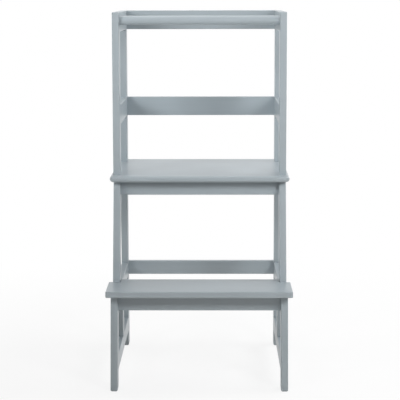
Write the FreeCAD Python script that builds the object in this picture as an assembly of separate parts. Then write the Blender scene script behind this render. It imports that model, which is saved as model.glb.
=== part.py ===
import FreeCAD, Part
import math
import os
from FreeCAD import Vector

# Toddler kitchen helper stool: a low step, a standing platform and a guard frame round it.
# Two glued side frames stand left and right. Cross rails, two boards and a round bar join them.
# Millimetres, +Z up, the low step to the front at -Y, +X to the right as seen from the front.
# The origin is on the floor, under the middle of the whole depth and width.

# Overall sizes
overall_height = 900.0          # floor to the top of the posts
frame_width = 426.0             # over the outer faces of the two side frames
stock = 17.0                    # thickness of every frame member
member_depth = 42.0             # legs, posts and struts, front to back on the level
edge_radius = 2.0               # softened edges of every frame member
foot_chamfer = 3.0              # broken edge round the foot of each leg
top_chamfer = 1.5               # broken edge round the top of each post

# Boards
board_thickness = 15.0          # platform and step
platform_height = 501.0         # floor to the top of the platform
platform_side_overhang = 8.0    # beyond each side frame
platform_front_overhang = 25.0  # in front of the front posts
platform_back_overhang = 25.0   # behind the rear posts
platform_corner_radius = 14.0   # rounded corners, seen from above
platform_edge_radius = 7.2      # nearly full bullnose
step_height = 244.0             # floor to the top of the step
step_side_overhang = 10.0       # beyond each side frame
step_reach = 174.0              # step's front edge ahead of the front posts
step_depth = 155.0              # front edge to the back of the tongue between the main legs
step_corner_radius = 4.0
step_edge_radius = 2.5
notch_clearance = 0.5           # round the main legs, where the step is notched

# Guard frame above the platform
upper_depth = 330.0             # front face of the front posts to rear face of the rear ones
guard_rail_height = 49.0        # top and middle rails
mid_rail_rise = 122.0           # platform top to the underside of the middle rails
bar_diameter = 22.0             # round bar across the front
bar_drop = 20.0                 # post tops down to the bar's centre line
bar_socket_depth = 9.0          # how far the bar enters each post

# Legs, in the side view
main_leg_setback = 7.0          # main leg behind the front post's face, at its top
main_lean = 13.8                # degrees, foot forward
step_leg_setback = 1.0          # step leg's toe behind the step's front edge
step_lean = 9.2                 # degrees, foot forward
rear_leg_setback = 12.0         # rear leg ahead of the rear post's back, at its top
rear_lean = 1.0                 # degrees, foot backward
strut_setback = 64.0            # strut's foot behind the front post's face
strut_lean = 8.4                # degrees, foot backward

# Rails under the boards and near the floor
platform_rail_height = 37.0     # aprons and side rails under the platform
step_apron_height = 42.0
apron_setback = 16.0            # both front aprons behind their legs' front faces, at the top
low_rail_height = 36.0          # step bearers, low back rail and bottom stretchers
stretcher_clearance = 42.0      # floor to the underside of the bottom stretchers

# Glued stub tenons inside the side frames
tenon_thickness = 8.0
tenon_length = 9.0
tenon_shoulder = 6.0            # wood left above and below, or ahead and behind, each tenon
glue_gap = 0.1                  # each way, between a tenon and its mortise

# Connector bolts through the side frames into the ends of the cross rails
bolt_diameter = 7.0
bolt_length = 50.0              # from the outer face to the tip
bolt_head_diameter = 13.0
bolt_head_height = 3.0          # the heads lie flush in the side frames

# Studs from each leg, through the platform, into the post above
stud_diameter = 8.0
stud_length = 75.0              # half below and half above the middle of the platform board
front_stud_setback = 18.0       # behind the front post's front face
rear_stud_setback = 33.0        # ahead of the rear post's rear face

# Wood screws from below that hold the step
screw_diameter = 4.0
screw_head_diameter = 8.0
screw_head_height = 2.5
screw_length = 40.0
screw_bite = 10.0               # screw's length inside the board
screw_spacing = 260.0           # between the two in the step's apron

# Fits round the hardware
thread_gap = 0.05               # radial, where a thread is drawn plain
hole_clearance = 0.25           # radial, round heads and plain shanks
tip_clearance = 1.0             # hole's depth beyond a tip
hardware_sides = 12             # flat sides that stand for the round of bolts, studs and screws

# Levels
platform_underside = platform_height - board_thickness
step_underside = step_height - board_thickness
platform_rail_bottom = platform_underside - platform_rail_height
top_rail_bottom = overall_height - guard_rail_height
mid_rail_bottom = platform_height + mid_rail_rise
mid_rail_top = mid_rail_bottom + guard_rail_height
bearer_bottom = step_underside - low_rail_height
stretcher_top = stretcher_clearance + low_rail_height
bar_level = overall_height - bar_drop

# Places along Y
overall_depth = step_reach + upper_depth + platform_back_overhang
step_front = -overall_depth / 2
step_back = step_front + step_depth
post_front = step_front + step_reach
post_back = post_front + upper_depth
platform_front = post_front - platform_front_overhang
platform_back = post_back + platform_back_overhang

# Places along X
outer_face = frame_width / 2
inner_face = outer_face - stock
middle_plane = outer_face - stock / 2
platform_width = frame_width + 2 * platform_side_overhang
step_width = frame_width + 2 * step_side_overhang

# Directions
ALONG_X = Vector(1, 0, 0)
ALONG_Y = Vector(0, 1, 0)
ALONG_Z = Vector(0, 0, 1)

pieces = {}


# Front and back faces of the uprights in the side view: each gives Y at the height z
def main_leg_front(z):
    return post_front + main_leg_setback - math.tan(math.radians(main_lean)) * (platform_underside - z)


def main_leg_back(z):
    return main_leg_front(z) + member_depth


def step_leg_front(z):
    return step_front + step_leg_setback + math.tan(math.radians(step_lean)) * z


def step_leg_back(z):
    return step_leg_front(z) + member_depth


def rear_leg_back(z):
    return post_back - rear_leg_setback + math.tan(math.radians(rear_lean)) * (platform_underside - z)


def rear_leg_front(z):
    return rear_leg_back(z) - member_depth


def strut_front(z):
    return post_front + strut_setback - math.tan(math.radians(strut_lean)) * (z - stretcher_top)


def strut_back(z):
    return strut_front(z) + member_depth


def front_post_front(z):
    return post_front


def front_post_back(z):
    return post_front + member_depth


def rear_post_front(z):
    return post_back - member_depth


def rear_post_back(z):
    return post_back


# Solids and edge picks
def box(x0, x1, y0, y1, z0, z1):
    return Part.makeBox(x1 - x0, y1 - y0, z1 - z0, Vector(x0, y0, z0))


def rod(start, direction, diameter, length):
    return Part.makeCylinder(diameter / 2, length, start, direction)


def many_sided(start, direction, diameter, length):
    """Prism that stands for a small rod or hole, with few faces because it repeats often."""
    spoke = ALONG_Y * (diameter / 2)
    corners = []
    for corner in range(hardware_sides):
        turn = FreeCAD.Rotation(direction, 360.0 * corner / hardware_sides)
        corners.append(start + turn.multVec(spoke))
    return Part.Face(Part.makePolygon(corners + corners[:1])).extrude(direction * length)


def slab(front, back, z0, z1, x0, x1):
    """Solid between a front and a back line of the side view, two levels and two planes."""
    outline = [Vector(x0, front(z0), z0), Vector(x0, back(z0), z0)]
    outline += [Vector(x0, back(z1), z1), Vector(x0, front(z1), z1), Vector(x0, front(z0), z0)]
    return Part.Face(Part.makePolygon(outline)).extrude(Vector(x1 - x0, 0, 0))


def edges_along(shape, direction, least=0.9):
    """The edges that run along a direction, or within about 25 degrees of it."""
    found = []
    for edge in shape.Edges:
        run = edge.Vertexes[-1].Point - edge.Vertexes[0].Point
        if run.Length > 0 and abs(run.dot(direction)) > least * run.Length:
            found.append(edge)
    return found


def edges_at(shape, level):
    """The edges that lie in one level."""
    return [edge for edge in shape.Edges
            if abs(edge.BoundBox.ZMin - level) < 0.01 and abs(edge.BoundBox.ZMax - level) < 0.01]


def mirrored(shape):
    return shape.mirror(Vector(0, 0, 0), ALONG_X)


def add_pair(name, shape):
    """The left piece and its mirror image on the right."""
    pieces["left_" + name] = shape
    pieces["right_" + name] = mirrored(shape)


def cut_pair(name, tool):
    """The same cut in the left piece and its mirror image."""
    pieces["left_" + name] = pieces["left_" + name].cut(tool)
    pieces["right_" + name] = pieces["right_" + name].cut(mirrored(tool))


def cut_both_ends(name, tool):
    """The same cut at the left and the right of a piece that spans the stool."""
    pieces[name] = pieces[name].cut(tool).cut(mirrored(tool))


# Side frames
def upright(front, back, z0, z1):
    """Leg, post or strut of the left side frame, with softened long edges."""
    body = slab(front, back, z0, z1, -outer_face, -inner_face)
    return body.makeFillet(edge_radius, edges_along(body, ALONG_Z))


def leg(front, back, z1):
    """Upright that stands on the floor, with a broken edge round its foot."""
    body = slab(front, back, 0.0, z1, -outer_face, -inner_face)
    body = body.makeChamfer(foot_chamfer, edges_at(body, 0.0))
    return body.makeFillet(edge_radius, edges_along(body, ALONG_Z))


def post(front, back):
    """Upright above the platform, with a broken edge round its top."""
    body = slab(front, back, platform_height, overall_height, -outer_face, -inner_face)
    body = body.makeChamfer(top_chamfer, edges_at(body, overall_height))
    return body.makeFillet(edge_radius, edges_along(body, ALONG_Z))


def end_tenon(front, back, z, upward, gap=0.0):
    """Tenon on the end of an upright at level z; with a gap it is the cutter for its mortise."""
    half = tenon_thickness / 2 + gap
    reach = tenon_length + gap
    low = z if upward else z - reach
    inset = tenon_shoulder - gap
    return slab(lambda h: front(h) + inset, lambda h: back(h) - inset,
                low, low + reach, -middle_plane - half, -middle_plane + half)


def rail_tenons(front, back, z0, z1, gap=0.0):
    """Tenons at both ends of a side rail; with a gap they are the cutters for the mortises."""
    half = tenon_thickness / 2 + gap
    reach = tenon_length + gap
    low = z0 + tenon_shoulder - gap
    high = z1 - tenon_shoulder + gap
    return slab(lambda h: front(h) - reach, lambda h: back(h) + reach,
                low, high, -middle_plane - half, -middle_plane + half)


def add_side_rail(name, ahead, behind, front, back, z0, z1):
    """Rail of both side frames, cut at its ends to the slopes of the members ahead and behind."""
    body = slab(front, back, z0, z1, -outer_face, -inner_face)
    body = body.makeFillet(edge_radius, edges_along(body, ALONG_Y))
    add_pair(name, body.fuse(rail_tenons(front, back, z0, z1)))
    mortises = rail_tenons(front, back, z0, z1, glue_gap)
    cut_pair(ahead, mortises)
    cut_pair(behind, mortises)


def add_side_frames():
    add_pair("front_post", post(front_post_front, front_post_back))
    add_pair("rear_post", post(rear_post_front, rear_post_back))
    add_pair("rear_leg", leg(rear_leg_front, rear_leg_back, platform_underside))
    add_pair("step_leg", leg(step_leg_front, step_leg_back, step_underside))
    main_leg = upright(main_leg_front, main_leg_back, step_underside, platform_underside)
    add_pair("main_leg", main_leg.fuse(end_tenon(main_leg_front, main_leg_back, step_underside, False)))
    strut = upright(strut_front, strut_back, stretcher_top, bearer_bottom)
    strut = strut.fuse(end_tenon(strut_front, strut_back, stretcher_top, False))
    add_pair("strut", strut.fuse(end_tenon(strut_front, strut_back, bearer_bottom, True)))

    add_side_rail("top_side_rail", "front_post", "rear_post",
                  front_post_back, rear_post_front, top_rail_bottom, overall_height)
    add_side_rail("mid_side_rail", "front_post", "rear_post",
                  front_post_back, rear_post_front, mid_rail_bottom, mid_rail_top)
    add_side_rail("platform_side_rail", "main_leg", "rear_leg",
                  main_leg_back, rear_leg_front, platform_rail_bottom, platform_underside)
    add_side_rail("step_bearer", "step_leg", "rear_leg",
                  step_leg_back, rear_leg_front, bearer_bottom, step_underside)
    add_side_rail("bottom_stretcher", "step_leg", "rear_leg",
                  step_leg_back, rear_leg_front, stretcher_clearance, stretcher_top)

    cut_pair("step_bearer", end_tenon(main_leg_front, main_leg_back, step_underside, False, glue_gap))
    cut_pair("step_bearer", end_tenon(strut_front, strut_back, bearer_bottom, True, glue_gap))
    cut_pair("bottom_stretcher", end_tenon(strut_front, strut_back, stretcher_top, False, glue_gap))


# Boards
def add_platform_board():
    board = box(-platform_width / 2, platform_width / 2, platform_front, platform_back,
                platform_underside, platform_height)
    board = board.makeFillet(platform_corner_radius, edges_along(board, ALONG_Z))
    rims = edges_at(board, platform_underside) + edges_at(board, platform_height)
    pieces["platform_board"] = board.makeFillet(platform_edge_radius, rims)


def add_step_board():
    """Board with ears that end at the main legs and a tongue that runs back between them."""
    board = box(-step_width / 2, step_width / 2, step_front, step_back, step_underside, step_height)
    board = board.makeFillet(step_corner_radius, edges_along(board, ALONG_Z))
    notch = slab(lambda h: main_leg_front(h) - notch_clearance, lambda h: step_back + member_depth,
                 step_underside, step_height, -step_width, -inner_face + notch_clearance)
    board = board.cut(notch).cut(mirrored(notch))
    rims = edges_at(board, step_underside) + edges_at(board, step_height)
    pieces["step_board"] = board.makeFillet(step_edge_radius, rims)


# Hardware: each piece and its hole come from the same function, with or without a gap
def headed(start, direction, head_diameter, head_height, shank_diameter, length, gap=0.0, tip=0.0):
    """Bolt or screw; with a gap it is the cutter for its hole."""
    head = many_sided(start, direction, head_diameter + 2 * gap, head_height)
    shank = many_sided(start + direction * head_height, direction, shank_diameter + 2 * gap,
                       length - head_height + tip)
    return head.fuse(shank)


def add_both(group, shape):
    group.append(shape)
    group.append(mirrored(shape))


# Cross rails between the inner faces of the side frames
rail_bolts = []


def add_cross_rail(name, carrier, front, z0, z1):
    """Rail with a bolt through the carrier into each end."""
    body = box(-inner_face, inner_face, front, front + stock, z0, z1)
    pieces[name] = body.makeFillet(edge_radius, edges_along(body, ALONG_X))
    start = Vector(-outer_face, front + stock / 2, (z0 + z1) / 2)
    bolt = headed(start, ALONG_X, bolt_head_diameter, bolt_head_height, bolt_diameter, bolt_length)
    hole = headed(start, ALONG_X, bolt_head_diameter, bolt_head_height, bolt_diameter, bolt_length,
                  hole_clearance, tip_clearance)
    thread = many_sided(start, ALONG_X, bolt_diameter + 2 * thread_gap, bolt_length + tip_clearance)
    cut_pair(carrier, hole)
    cut_both_ends(name, thread)
    add_both(rail_bolts, bolt)


def add_cross_rails():
    add_cross_rail("top_back_rail", "rear_post", post_back - stock, top_rail_bottom, overall_height)
    add_cross_rail("mid_back_rail", "rear_post", post_back - stock, mid_rail_bottom, mid_rail_top)
    add_cross_rail("low_back_rail", "rear_leg", rear_leg_back(step_underside) - stock,
                   bearer_bottom, step_underside)
    add_cross_rail("platform_rear_apron", "rear_leg", rear_leg_back(platform_underside) - stock,
                   platform_rail_bottom, platform_underside)
    add_cross_rail("platform_front_apron", "main_leg", main_leg_front(platform_underside) + apron_setback,
                   platform_rail_bottom, platform_underside)
    add_cross_rail("step_front_apron", "step_leg", step_leg_front(step_underside) + apron_setback,
                   step_underside - step_apron_height, step_underside)


def add_round_bar():
    """Bar across the front, its ends in blind sockets in the front posts."""
    y = post_front + member_depth / 2
    reach = inner_face + bar_socket_depth
    pieces["front_round_bar"] = rod(Vector(-reach, y, bar_level), ALONG_X, bar_diameter, 2 * reach)
    socket = rod(Vector(-reach - glue_gap, y, bar_level), ALONG_X,
                 bar_diameter + 2 * glue_gap, 2 * reach)
    cut_pair("front_post", socket)


# Studs through the platform
post_studs = []


def add_post_stud(leg_name, post_name, y):
    """Stud on both sides that clamps the platform between a leg and the post above it."""
    start = Vector(-middle_plane, y, platform_height - board_thickness / 2 - stud_length / 2)
    hole = many_sided(start - ALONG_Z * tip_clearance, ALONG_Z,
                      stud_diameter + 2 * thread_gap, stud_length + 2 * tip_clearance)
    cut_pair(leg_name, hole)
    cut_pair(post_name, hole)
    cut_both_ends("platform_board", hole)
    add_both(post_studs, many_sided(start, ALONG_Z, stud_diameter, stud_length))


# Screws that hold the step, their heads sunk in the rails below it
step_screws = []


def add_step_screw(rail, x, y, rail_bottom):
    """Screw up through a rail into the step."""
    start = Vector(x, y, step_underside + screw_bite - screw_length)
    hole = headed(start, ALONG_Z, screw_head_diameter, screw_head_height,
                  screw_diameter, screw_length, thread_gap, tip_clearance)
    sink = many_sided(Vector(x, y, rail_bottom), ALONG_Z, screw_head_diameter + 2 * thread_gap,
                      start.z - rail_bottom)
    pieces[rail] = pieces[rail].cut(hole.fuse(sink))
    pieces["step_board"] = pieces["step_board"].cut(hole)
    step_screws.append(headed(start, ALONG_Z, screw_head_diameter, screw_head_height,
                              screw_diameter, screw_length))


def add_step_screws():
    apron_y = step_leg_front(step_underside) + apron_setback + stock / 2
    bearer_y = (step_leg_back(step_underside) + main_leg_front(step_underside)) / 2
    for side in (-1, 1):
        add_step_screw("step_front_apron", side * screw_spacing / 2, apron_y,
                       step_underside - step_apron_height)
    add_step_screw("left_step_bearer", -middle_plane, bearer_y, bearer_bottom)
    add_step_screw("right_step_bearer", middle_plane, bearer_y, bearer_bottom)


def save_pieces():
    os.makedirs("parts", exist_ok=True)
    for name, shape in pieces.items():
        shape.exportStep("parts/" + name + ".step")
        print(name, len(shape.Solids), "solid, valid", shape.isValid(), round(shape.Volume), "mm3")


add_side_frames()
add_platform_board()
add_step_board()
add_cross_rails()
add_round_bar()
add_post_stud("main_leg", "front_post", post_front + front_stud_setback)
add_post_stud("rear_leg", "rear_post", post_back - rear_stud_setback)
add_step_screws()
pieces["rail_bolts"] = Part.makeCompound(rail_bolts)
pieces["post_studs"] = Part.makeCompound(post_studs)
pieces["step_screws"] = Part.makeCompound(step_screws)
save_pieces()
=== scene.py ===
# %% [markdown]
# # A painted kitchen helper stool, dressed from its frame
#
# The wooden pieces of the stool come ready made, each with its right size and place.
# This lesson loads them, sets up the camera, makes a few smoother pieces with numpy,
# mixes a satin grey-blue paint, and lights the whole as in a plain product picture.

# %% Load the frame
import bpy
import math
import numpy as np
from mathutils import Matrix, Vector


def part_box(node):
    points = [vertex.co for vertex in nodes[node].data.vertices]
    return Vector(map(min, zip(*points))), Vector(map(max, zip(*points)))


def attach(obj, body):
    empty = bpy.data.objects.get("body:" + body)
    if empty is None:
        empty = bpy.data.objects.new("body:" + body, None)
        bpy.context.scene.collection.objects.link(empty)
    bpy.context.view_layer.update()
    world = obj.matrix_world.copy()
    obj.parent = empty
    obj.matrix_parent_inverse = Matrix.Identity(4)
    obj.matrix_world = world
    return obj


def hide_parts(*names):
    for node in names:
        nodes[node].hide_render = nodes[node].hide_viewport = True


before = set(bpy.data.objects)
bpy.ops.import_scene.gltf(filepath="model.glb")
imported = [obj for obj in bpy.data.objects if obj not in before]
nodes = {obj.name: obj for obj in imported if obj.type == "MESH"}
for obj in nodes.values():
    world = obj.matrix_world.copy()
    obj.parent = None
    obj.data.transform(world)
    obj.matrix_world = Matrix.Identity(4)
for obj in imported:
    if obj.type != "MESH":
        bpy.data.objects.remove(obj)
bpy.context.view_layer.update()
print("pieces in the frame:", len(nodes))

# %% [markdown]
# ## The camera
#
# A product picture like this one is taken from a few metres away with a long lens, so that
# upright posts stay nearly parallel. The camera stands a little above the stool's top and
# looks slightly down. Its place was found by matching the corners of the posts, boards and
# feet. It could be turned with a Track To constraint, but a matrix of three directions
# (right, up, back) says exactly where it looks, down to the small tilt.

# %% Place the camera
picture_width = 400                      # pixels, square picture
focal_pixels = 1443.5                    # focal length counted in pixels
sensor_width = 36.0                      # millimetres
farthest_seen = 100.0                    # metres, well past the floor's edge
eye = Vector((0.0394, -3.6207, 0.9496))  # metres
turn_left = math.radians(0.628)
look_down = math.radians(8.224)
tilt = math.radians(-0.114)

forward = Vector((-math.sin(turn_left) * math.cos(look_down),
                  math.cos(turn_left) * math.cos(look_down),
                  -math.sin(look_down)))
level_right = Vector((math.cos(turn_left), math.sin(turn_left), 0.0))
level_up = level_right.cross(forward)
right = level_right * math.cos(tilt) + level_up * math.sin(tilt)
up = level_up * math.cos(tilt) - level_right * math.sin(tilt)

camera_data = bpy.data.cameras.new("camera")
camera_data.sensor_width = sensor_width
camera_data.lens = focal_pixels * sensor_width / picture_width
camera_data.clip_end = farthest_seen
camera = bpy.data.objects.new("camera", camera_data)
bpy.context.scene.collection.objects.link(camera)
turn = Matrix((right, up, -forward)).transposed()
camera.matrix_world = Matrix.Translation(eye) @ turn.to_4x4()
bpy.context.scene.camera = camera
print("lens", round(camera_data.lens, 1), "mm")

# %% [markdown]
# ## Surfaces from arrays
#
# Every new piece below is a grid of points: its rows follow one parameter and its columns
# another. Neighbouring points make four-sided faces, the last column joins the first, and
# the first and last rows are closed with one flat face each. The faces are numbers in a
# table too, so they are worked out once and serve every piece. A second helper turns such
# arrays into a Blender mesh.


# %% Helper: faces of a closed grid
def tube_faces(rows, columns):
    """Quads between neighbouring rows of a ring of columns, and the two rings that close it."""
    row = np.arange(rows - 1)[:, None] * columns
    next_row = row + columns
    column = np.arange(columns)[None, :]
    after = (column + 1) % columns
    quads = np.stack([row + column, row + after, next_row + after, next_row + column], -1)
    first_ring = np.arange(columns)[::-1]
    last_ring = np.arange(columns) + (rows - 1) * columns
    return quads.reshape(-1, 4), np.stack([first_ring, last_ring])


print("quads and end faces on 3 by 8 points:", [len(table) for table in tube_faces(3, 8)])


# %% Helper: a smooth mesh piece
def make_piece(name, points, faces, crease_degrees=40):
    """Mesh object whose shading is smooth, except where faces meet at a sharper angle."""
    mesh = bpy.data.meshes.new(name)
    corner_lists = [corners for table in faces for corners in table.tolist()]
    mesh.from_pydata(points.reshape(-1, 3).tolist(), [], corner_lists)
    mesh.polygons.foreach_set("use_smooth", np.ones(len(mesh.polygons), bool))
    mesh.set_sharp_from_angle(angle=math.radians(crease_degrees))
    mesh.update()
    piece = bpy.data.objects.new(name, mesh)
    bpy.context.scene.collection.objects.link(piece)
    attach(piece, "root")
    print(name, "has", len(mesh.vertices), "points and", len(mesh.polygons), "faces")
    return piece


# %% [markdown]
# ## The round bar
#
# The bar that closes the front is a turned rod. On the real stool its ends sit in holes in
# the posts, so only the middle shows. Blender's own cylinder would give it too. Here a
# circle is carried along a straight path, which is the simplest grid there is, and enough
# points round the circle keep its long highlight clean.

# %% Make the round bar
bar_low, bar_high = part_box("front_round_bar")


def rod_along_x(low, high, stations=9, round_points=96):
    """Circle in Y and Z that fills the box, repeated at even stations along X."""
    centre = (low + high) / 2
    radius = (high.z - low.z) / 2
    angle = np.linspace(0, 2 * np.pi, round_points, endpoint=False)
    points = np.zeros((stations, round_points, 3))
    points[..., 0] = np.linspace(low.x, high.x, stations)[:, None]
    points[..., 1] = centre.y + radius * np.cos(angle)
    points[..., 2] = centre.z + radius * np.sin(angle)
    return points, tube_faces(stations, round_points)


round_bar = make_piece("smooth_round_bar", *rod_along_x(bar_low, bar_high))
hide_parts("front_round_bar")

# %% [markdown]
# ## The platform
#
# The platform is one board with rounded corners, and its edge is machined to a half round,
# which is called a bullnose. A box with a Bevel modifier could come near, but it would give
# the corners and the nose the same radius. So the outline is carried along the nose's arc.
# Seen from above the outline is a rounded rectangle, and each row of the grid is that
# outline again, a little smaller and a little higher.

# %% Measure the platform
platform_low, platform_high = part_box("platform_board")
corner_radius = 0.014                    # seen from above
nose_radius = 0.0072                     # seen in section, just under half the thickness
print("platform thickness:", round(platform_high.z - platform_low.z, 4), "m")


# %% Helper: outlines with round corners
def rounded_outlines(low, high, radius, inset, corner_points=24):
    """Rounded rectangles, one row for each inset: four quarter circles round corner centres."""
    quarter = np.linspace(0, np.pi / 2, corner_points)
    angle = (np.arange(4)[:, None] * np.pi / 2 + quarter[None, :]).ravel()
    at_right = np.repeat([True, False, False, True], corner_points)
    at_back = np.repeat([True, True, False, False], corner_points)
    centre_x = np.where(at_right, high.x - radius, low.x + radius)
    centre_y = np.where(at_back, high.y - radius, low.y + radius)
    reach = (radius - inset)[:, None]
    x = centre_x[None, :] + reach * np.cos(angle)[None, :]
    y = centre_y[None, :] + reach * np.sin(angle)[None, :]
    return x, y


# %% Make the platform
def bullnosed_board(low, high, radius, nose, arc_points=16):
    """Outline rows up the section: a lower arc of the nose, the flat of the edge, an upper arc."""
    arc = np.linspace(0, np.pi / 2, arc_points)
    from_face = nose * (1 - np.cos(arc))
    from_side = nose * (1 - np.sin(arc))
    inset = np.concatenate([from_side, from_face])
    height = np.concatenate([low.z + from_face, high.z - from_side])
    x, y = rounded_outlines(low, high, radius, inset)
    points = np.stack([x, y, np.broadcast_to(height[:, None], x.shape)], -1)
    return points, tube_faces(*x.shape)


platform_shape = bullnosed_board(platform_low, platform_high, corner_radius, nose_radius)
platform = make_piece("smooth_platform", *platform_shape)
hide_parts("platform_board")

# %% [markdown]
# ## Bolt heads
#
# Twelve bolts hold the cross rails. Their heads lie flush in the outer faces of the side
# frames, and each has a six-sided hole for its key. Such a hole could be cut with a Boolean
# modifier, but cutting leaves long thin faces. A head is a turned shape, so here a profile
# of radius against depth is swept round the bolt's axis. The key hole is the same idea with
# six flat sides: there the radius changes with the angle.

# %% Find the bolts
bolts_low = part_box("rail_bolts")[0]
bolt_mesh = nodes["rail_bolts"].data
flat_places = np.empty(3 * len(bolt_mesh.vertices), np.float32)
bolt_mesh.vertices.foreach_get("co", flat_places)
bolt_points = flat_places.reshape(-1, 3).astype(float)
same_plane = 1e-5                        # metres
head_points = bolt_points[np.abs(bolt_points[:, 0] - bolts_low.x) < same_plane]


def group_centres(points, reach=0.02):
    """Centres of the clusters of points that lie within the reach of each other."""
    centres = []
    rest = points
    while len(rest):
        near = np.linalg.norm(rest - rest[0], axis=1) < reach
        centres.append((rest[near].min(0) + rest[near].max(0)) / 2)
        rest = rest[~near]
    return np.array(centres)


head_centres = group_centres(head_points)
print("bolts on each side:", len(head_centres))

# %% Sizes of a bolt
head_radius = 0.0064
head_height = 0.0029
head_rim = 0.0004                        # broken edge round the head
shank_radius = 0.0034
bolt_length = 0.050
tip_height = 0.002                       # the tip narrows over this length
tip_radius = 0.6 * shank_radius
key_radius = 0.0023                      # to the middle of each flat side
key_depth = 0.0019
key_rim = 0.0002                         # broken edge round the key hole
closing_radius = 0.0002                  # small ring that closes the key hole's floor

bolt_profile = np.array([                # depth, radius
    (key_depth, closing_radius),
    (key_depth, key_radius),
    (key_rim / 2, key_radius),
    (0.0, key_radius + key_rim),
    (0.0, head_radius - head_rim),
    (head_rim, head_radius),
    (head_height, head_radius),
    (head_height, shank_radius),
    (bolt_length - tip_height, shank_radius),
    (bolt_length, tip_radius),
])
six_sided_rows = slice(1, 4)
print("points in the bolt's profile:", len(bolt_profile))


# %% Turn one bolt
def turned_bolt(profile, round_points=48):
    """Profile swept round X; in the key hole the radius is divided by the cosine off each flat."""
    depth, radius = profile.T[:, :, None]
    angle = np.linspace(0, 2 * np.pi, round_points, endpoint=False)
    off_flat = (angle + np.pi / 6) % (np.pi / 3) - np.pi / 6
    stretch = np.ones((len(profile), round_points))
    stretch[six_sided_rows] = 1 / np.cos(off_flat)
    points = np.zeros((len(profile), round_points, 3))
    points[..., 0] = depth
    points[..., 1] = radius * stretch * np.cos(angle)
    points[..., 2] = radius * stretch * np.sin(angle)
    return points.reshape(-1, 3), tube_faces(len(profile), round_points)


bolt_shape, bolt_faces = turned_bolt(bolt_profile)
print("points in one bolt:", len(bolt_shape))


# %% Set a bolt in each hole
def bolts_on_both_sides(shape, faces, centres):
    """Copies of the bolt at the centres, then again with X and each face's order reversed."""
    left = shape[None, :, :] + centres[:, None, :]
    mirror = np.array([-1, 1, 1])
    points = np.concatenate([left, left * mirror]).reshape(-1, 3)
    first = np.arange(2 * len(centres))[:, None, None] * len(shape)
    left_first, right_first = np.split(first, 2)
    copied = []
    for table in faces:
        copied.append((table[None] + left_first).reshape(-1, table.shape[1]))
        copied.append((table[None, :, ::-1] + right_first).reshape(-1, table.shape[1]))
    return points, copied


all_bolts = bolts_on_both_sides(bolt_shape, bolt_faces, head_centres)
bolts = make_piece("turned_bolts", *all_bolts, crease_degrees=25)
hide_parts("rail_bolts")

# %% [markdown]
# ## Satin paint over wood
#
# The stool is sprayed with a grey-blue satin paint. Three things keep such paint from
# looking like plastic. Its tone drifts a little over a hand's width. The wood's grain still
# shows faintly as shallow lines along each piece. And the sprayed film has a very fine
# ripple that softens reflections. A photograph of painted wood could be wrapped round each
# piece, but it would repeat and blur up close. Noise on object coordinates does neither. It
# is stretched along the piece, so there is one finish for every direction that pieces run.


# %% Helper: a node with its settings
def add_node(tree, kind, inputs=None, **settings):
    """New node of a kind, with plain values for some of its inputs."""
    node = tree.nodes.new(kind)
    for key, value in settings.items():
        setattr(node, key, value)
    for key, value in (inputs or {}).items():
        node.inputs[key].default_value = value
    return node


def plain_material(name):
    """Empty node material with a Principled shader on its output."""
    material = bpy.data.materials.new(name)
    material.use_nodes = True
    tree = material.node_tree
    tree.nodes.clear()
    shader = add_node(tree, "ShaderNodeBsdfPrincipled")
    output = add_node(tree, "ShaderNodeOutputMaterial")
    tree.links.new(shader.outputs["BSDF"], output.inputs["Surface"])
    return material, tree, shader


# %% Helper: part of a noise's range
noise_low = 0.3                          # most of a noise lies between these two
noise_high = 0.7


def noise_between(tree, noise, low, high):
    """The noise's usual range, stretched to run from low to high."""
    limits = {"From Min": noise_low, "From Max": noise_high, "To Min": low, "To Max": high}
    stretched = add_node(tree, "ShaderNodeMapRange", limits)
    tree.links.new(noise.outputs["Fac"], stretched.inputs["Value"])
    return stretched.outputs["Result"]


# %% Helper: satin paint
paint_pale = (0.406, 0.463, 0.498, 1.0)
paint_deep = (0.386, 0.444, 0.480, 1.0)
drift_scale = 7.0                        # patches of tone about 14 cm wide
grain_scale_across = 170.0               # grain lines about 6 mm apart
grain_scale_along = 7.0
grain_darkest = 0.965                    # share of the tone left in a grain line
paint_smoothest = 0.28                   # roughness
paint_roughest = 0.36
ripple_scale = 650.0                     # ripples about 1.5 mm wide
grain_relief = 0.0003                    # metres
grain_strength = 0.40
ripple_relief = 0.0001
ripple_strength = 0.10


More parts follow.
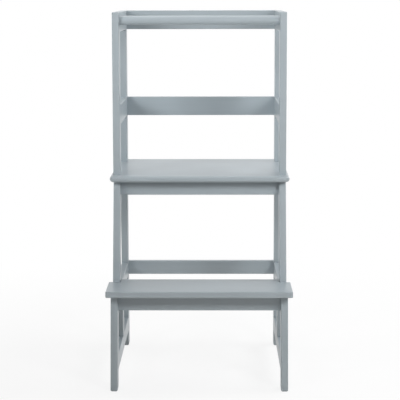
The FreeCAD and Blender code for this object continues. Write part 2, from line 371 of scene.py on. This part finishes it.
def satin_paint(name, along, lean_degrees=0.0):
    """Paint whose grain runs along X, Y or Z, or along an upright that leans in Y."""
    material, tree, shader = plain_material(name)
    link = tree.links.new
    place = add_node(tree, "ShaderNodeTexCoord")
    upright = {"Rotation": (math.radians(lean_degrees), 0.0, 0.0)}
    lean = add_node(tree, "ShaderNodeMapping", upright, vector_type="POINT")
    stretch = [grain_scale_across] * 3
    stretch["XYZ".index(along)] = grain_scale_along
    grain_place = add_node(tree, "ShaderNodeMapping", {"Scale": stretch}, vector_type="POINT")
    link(place.outputs["Object"], lean.inputs["Vector"])
    link(lean.outputs["Vector"], grain_place.inputs["Vector"])

    drift_look = {"Scale": drift_scale, "Detail": 3.0, "Roughness": 0.5}
    drift = add_node(tree, "ShaderNodeTexNoise", drift_look)
    link(lean.outputs["Vector"], drift.inputs["Vector"])
    tone = add_node(tree, "ShaderNodeMix", {"A": paint_pale, "B": paint_deep}, data_type="RGBA")
    link(drift.outputs["Fac"], tone.inputs["Factor"])

    grain_look = {"Scale": 1.0, "Detail": 5.0, "Roughness": 0.55, "Distortion": 0.4}
    grain = add_node(tree, "ShaderNodeTexNoise", grain_look)
    link(grain_place.outputs["Vector"], grain.inputs["Vector"])
    shade = add_node(tree, "ShaderNodeMix", {"Factor": 1.0}, data_type="RGBA",
                     blend_type="MULTIPLY")
    link(tone.outputs["Result"], shade.inputs["A"])
    link(noise_between(tree, grain, grain_darkest, 1.0), shade.inputs["B"])
    link(shade.outputs["Result"], shader.inputs["Base Color"])
    link(noise_between(tree, grain, paint_smoothest, paint_roughest), shader.inputs["Roughness"])

    ripple = add_node(tree, "ShaderNodeTexNoise", {"Scale": ripple_scale, "Detail": 2.0})
    link(lean.outputs["Vector"], ripple.inputs["Vector"])
    grain_bump = {"Strength": grain_strength, "Distance": grain_relief}
    ripple_bump = {"Strength": ripple_strength, "Distance": ripple_relief}
    lines = add_node(tree, "ShaderNodeBump", grain_bump)
    film = add_node(tree, "ShaderNodeBump", ripple_bump)
    link(grain.outputs["Fac"], lines.inputs["Height"])
    link(ripple.outputs["Fac"], film.inputs["Height"])
    link(lines.outputs["Normal"], film.inputs["Normal"])
    link(film.outputs["Normal"], shader.inputs["Normal"])
    return material


# %% Mix the paints
main_leg_lean = 13.8                     # degrees, foot forward
step_leg_lean = 9.2
paint_x = satin_paint("paint_grain_across", "X")
paint_y = satin_paint("paint_grain_front_to_back", "Y")
paint_z = satin_paint("paint_grain_upright", "Z")
paint_main_leg = satin_paint("paint_grain_main_legs", "Z", main_leg_lean)
paint_step_leg = satin_paint("paint_grain_step_legs", "Z", step_leg_lean)
print("nodes in each paint:", len(paint_x.node_tree.nodes))

# %% [markdown]
# ## Zinc-plated steel
#
# Bolts, studs and screws are plated with zinc, which is a soft grey metal with a fine
# speckle. Most of this hardware is inside the wood, and only the bolt heads show. One plain
# grey with one roughness would look like plastic up close, so a fine noise changes both a
# little.


# %% Make the zinc finish
zinc_pale = (0.60, 0.61, 0.62, 1.0)
zinc_deep = (0.50, 0.51, 0.53, 1.0)
zinc_smoothest = 0.28                    # roughness
zinc_roughest = 0.45
speckle_scale = 1800.0                   # specks about half a millimetre wide


def zinc_plate():
    """Grey metal whose tone and roughness change in fine specks."""
    material, tree, shader = plain_material("zinc_plate")
    shader.inputs["Metallic"].default_value = 1.0
    place = add_node(tree, "ShaderNodeTexCoord")
    specks = add_node(tree, "ShaderNodeTexNoise", {"Scale": speckle_scale, "Detail": 2.0})
    tree.links.new(place.outputs["Object"], specks.inputs["Vector"])
    tone = add_node(tree, "ShaderNodeMix", {"A": zinc_pale, "B": zinc_deep}, data_type="RGBA")
    tree.links.new(specks.outputs["Fac"], tone.inputs["Factor"])
    tree.links.new(tone.outputs["Result"], shader.inputs["Base Color"])
    limits = {"To Min": zinc_smoothest, "To Max": zinc_roughest}
    rough = add_node(tree, "ShaderNodeMapRange", limits)
    tree.links.new(specks.outputs["Fac"], rough.inputs["Value"])
    tree.links.new(rough.outputs["Result"], shader.inputs["Roughness"])
    return material


zinc = zinc_plate()
print("nodes in the zinc:", len(zinc.node_tree.nodes))

# %% [markdown]
# ## Each piece gets its finish
#
# The grain of a real piece runs along its length. Rails that cross the stool run along X,
# side rails run front to back, posts and rear legs stand upright, and the front legs lean.
# The ending of a piece's name tells which it is, so a short table is enough, and whatever
# isn't in it runs across.

# %% Paint the pieces
finish_of = {
    "rail_bolts": zinc, "post_studs": zinc, "step_screws": zinc,
    "main_leg": paint_main_leg, "step_leg": paint_step_leg,
    "side_rail": paint_y, "step_bearer": paint_y, "bottom_stretcher": paint_y,
    "post": paint_z, "rear_leg": paint_z, "strut": paint_z,
}
for name, node in nodes.items():
    finish = next((paint for ending, paint in finish_of.items() if name.endswith(ending)), paint_x)
    node.data.materials.clear()
    node.data.materials.append(finish)
new_pieces = {round_bar: paint_x, platform: paint_x, bolts: zinc}
for piece, finish in new_pieces.items():
    piece.data.materials.append(finish)
print("painted pieces:", len(nodes) + len(new_pieces))

# %% [markdown]
# ## Floor and background
#
# The picture has a plain white ground. The floor is a wide pale sheet. To the camera and to
# glossy reflections it is mostly its own white. Near the stool part of the real light is
# left in, so the stool drops a soft shadow, and that part fades out to pure white about a
# metre and a half away. The sky does the same: white to the camera and to reflections, and a
# calmer level of light on the paint. A strong light on the floor would whiten it too, but it
# would wash out the stool. Light that bounces off the floor is a little warm, as the shaded
# sides in the picture are.


# %% Helper: what the camera and reflections see
glossy_share = 0.88                      # a studio's white is dimmer outside the picture
own_white = (1.0, 1.0, 1.0, 1.0)


def seen_directly(tree):
    """Factor: 1 for camera and see-through rays, the glossy share for reflections, else 0."""
    path = add_node(tree, "ShaderNodeLightPath")
    glossy = add_node(tree, "ShaderNodeMath", {1: glossy_share}, operation="MULTIPLY")
    some = add_node(tree, "ShaderNodeMath", operation="MAXIMUM")
    every = add_node(tree, "ShaderNodeMath", operation="MAXIMUM")
    tree.links.new(path.outputs["Is Camera Ray"], some.inputs[0])
    tree.links.new(path.outputs["Is Glossy Ray"], glossy.inputs[0])
    tree.links.new(glossy.outputs["Value"], some.inputs[1])
    tree.links.new(some.outputs["Value"], every.inputs[0])
    tree.links.new(path.outputs["Is Transmission Ray"], every.inputs[1])
    return every.outputs["Value"]


# %% Lay the floor
floor_half = 30.0                        # metres from the middle to each side
floor_level = -0.0002                    # just under the feet
floor_corners = np.array([[-1, -1, 0], [1, -1, 0], [1, 1, 0], [-1, 1, 0]]) * floor_half
floor_corners[:, 2] = floor_level
floor_mesh = bpy.data.meshes.new("floor")
floor_mesh.from_pydata(floor_corners.tolist(), [], [[0, 1, 2, 3]])
floor = bpy.data.objects.new("floor", floor_mesh)
bpy.context.scene.collection.objects.link(floor)
print("floor width:", 2 * floor_half, "m")

# %% Make the floor white
bounce_colour = (0.84, 0.80, 0.765, 1.0)
shadow_full = 0.45                       # metres from the middle, shadows at their strongest
shadow_gone = 1.5                        # metres from the middle, pure white from here
white_share_near = 0.86


def floor_white():
    """Own white by distance from the middle to direct sight, plain diffuse to other light."""
    material = bpy.data.materials.new("floor_white")
    material.use_nodes = True
    tree = material.node_tree
    tree.nodes.clear()
    link = tree.links.new
    place = add_node(tree, "ShaderNodeTexCoord")
    reach = add_node(tree, "ShaderNodeVectorMath", operation="LENGTH")
    limits = {"From Min": shadow_full, "From Max": shadow_gone,
              "To Min": white_share_near, "To Max": 1.0}
    share = add_node(tree, "ShaderNodeMapRange", limits, interpolation_type="SMOOTHSTEP")
    lit = add_node(tree, "ShaderNodeBsdfDiffuse", {"Color": own_white})
    own = add_node(tree, "ShaderNodeEmission", {"Color": own_white, "Strength": 1.0})
    shown = add_node(tree, "ShaderNodeMixShader")
    plain = add_node(tree, "ShaderNodeBsdfDiffuse", {"Color": bounce_colour})
    blend = add_node(tree, "ShaderNodeMixShader")
    output = add_node(tree, "ShaderNodeOutputMaterial")
    link(place.outputs["Object"], reach.inputs[0])
    link(reach.outputs["Value"], share.inputs["Value"])
    link(share.outputs["Result"], shown.inputs[0])
    link(lit.outputs["BSDF"], shown.inputs[1])
    link(own.outputs["Emission"], shown.inputs[2])
    link(seen_directly(tree), blend.inputs[0])
    link(plain.outputs["BSDF"], blend.inputs[1])
    link(shown.outputs["Shader"], blend.inputs[2])
    link(blend.outputs["Shader"], output.inputs["Surface"])
    return material


floor_mesh.materials.append(floor_white())
print("floor finish:", floor_mesh.materials[0].name)

# %% Make the sky
calm_colour = (1.0, 0.98, 0.96, 1.0)
calm_strength = 0.08


def white_sky():
    """White to direct sight, and a weak warm light to everything else."""
    world = bpy.data.worlds.new("sky")
    world.use_nodes = True
    tree = world.node_tree
    tree.nodes.clear()
    calm_look = {"Color": calm_colour, "Strength": calm_strength}
    calm = add_node(tree, "ShaderNodeBackground", calm_look)
    white = add_node(tree, "ShaderNodeBackground", {"Color": own_white, "Strength": 1.0})
    blend = add_node(tree, "ShaderNodeMixShader")
    output = add_node(tree, "ShaderNodeOutputWorld")
    tree.links.new(seen_directly(tree), blend.inputs[0])
    tree.links.new(calm.outputs["Background"], blend.inputs[1])
    tree.links.new(white.outputs["Background"], blend.inputs[2])
    tree.links.new(blend.outputs["Shader"], output.inputs["Surface"])
    return world


bpy.context.scene.world = white_sky()
print("sky light:", calm_strength)

# %% [markdown]
# ## Light
#
# Seven round softboxes are set about the stool, as in a small studio. Two at the front open
# up the faces that the camera sees. The left one wears a grid, which narrows its beam, and
# it is aimed at the guard frame, so the lower left leg stays the darkest part, as in the
# picture. One hangs overhead for the boards and one stands high at the right for the sides
# that face the middle. Three behind give the edges their thin bright lines. A weak even sky
# fills the rest. One large lamp could light it all, but then the front faces would be nearly
# as bright as each other, and in the picture they aren't. No lamp shows to the camera.


# %% Helper: a softbox
def softbox(name, place, aim_height, width, watts, beam_degrees=180.0):
    """Round area lamp at a place in metres, turned to a height on the stool's middle line."""
    lamp = bpy.data.lights.new(name, "AREA")
    lamp.shape = "DISK"
    lamp.size = width
    lamp.energy = watts
    lamp.spread = math.radians(beam_degrees)
    holder = bpy.data.objects.new(name, lamp)
    holder.location = place
    away = Vector(place) - Vector((0.0, 0.0, aim_height))
    holder.rotation_euler = away.to_track_quat("Z", "Y").to_euler()
    holder.visible_camera = False
    bpy.context.scene.collection.objects.link(holder)


# %% Hang the lamps
softbox("left_front_lamp", (-1.50, -1.90, 1.50), aim_height=1.00, width=0.8, watts=3.1,
        beam_degrees=50.0)
softbox("right_front_lamp", (0.90, -1.60, 1.10), aim_height=0.40, width=0.5, watts=12.3)
softbox("overhead_lamp", (0.0, 0.10, 2.60), aim_height=0.50, width=1.6, watts=11.8)
softbox("right_side_lamp", (2.00, 0.30, 1.90), aim_height=0.60, width=1.2, watts=20.3)
softbox("back_lamp", (0.0, 1.90, 2.20), aim_height=0.50, width=1.6, watts=7.9)
softbox("back_right_lamp", (1.60, 1.60, 1.20), aim_height=0.50, width=1.4, watts=13.2)
softbox("back_left_lamp", (-1.60, 1.60, 1.20), aim_height=0.50, width=1.4, watts=9.9)

view = bpy.context.scene.view_settings
view.view_transform = "Standard"
print("lamps:", len(bpy.data.lights))
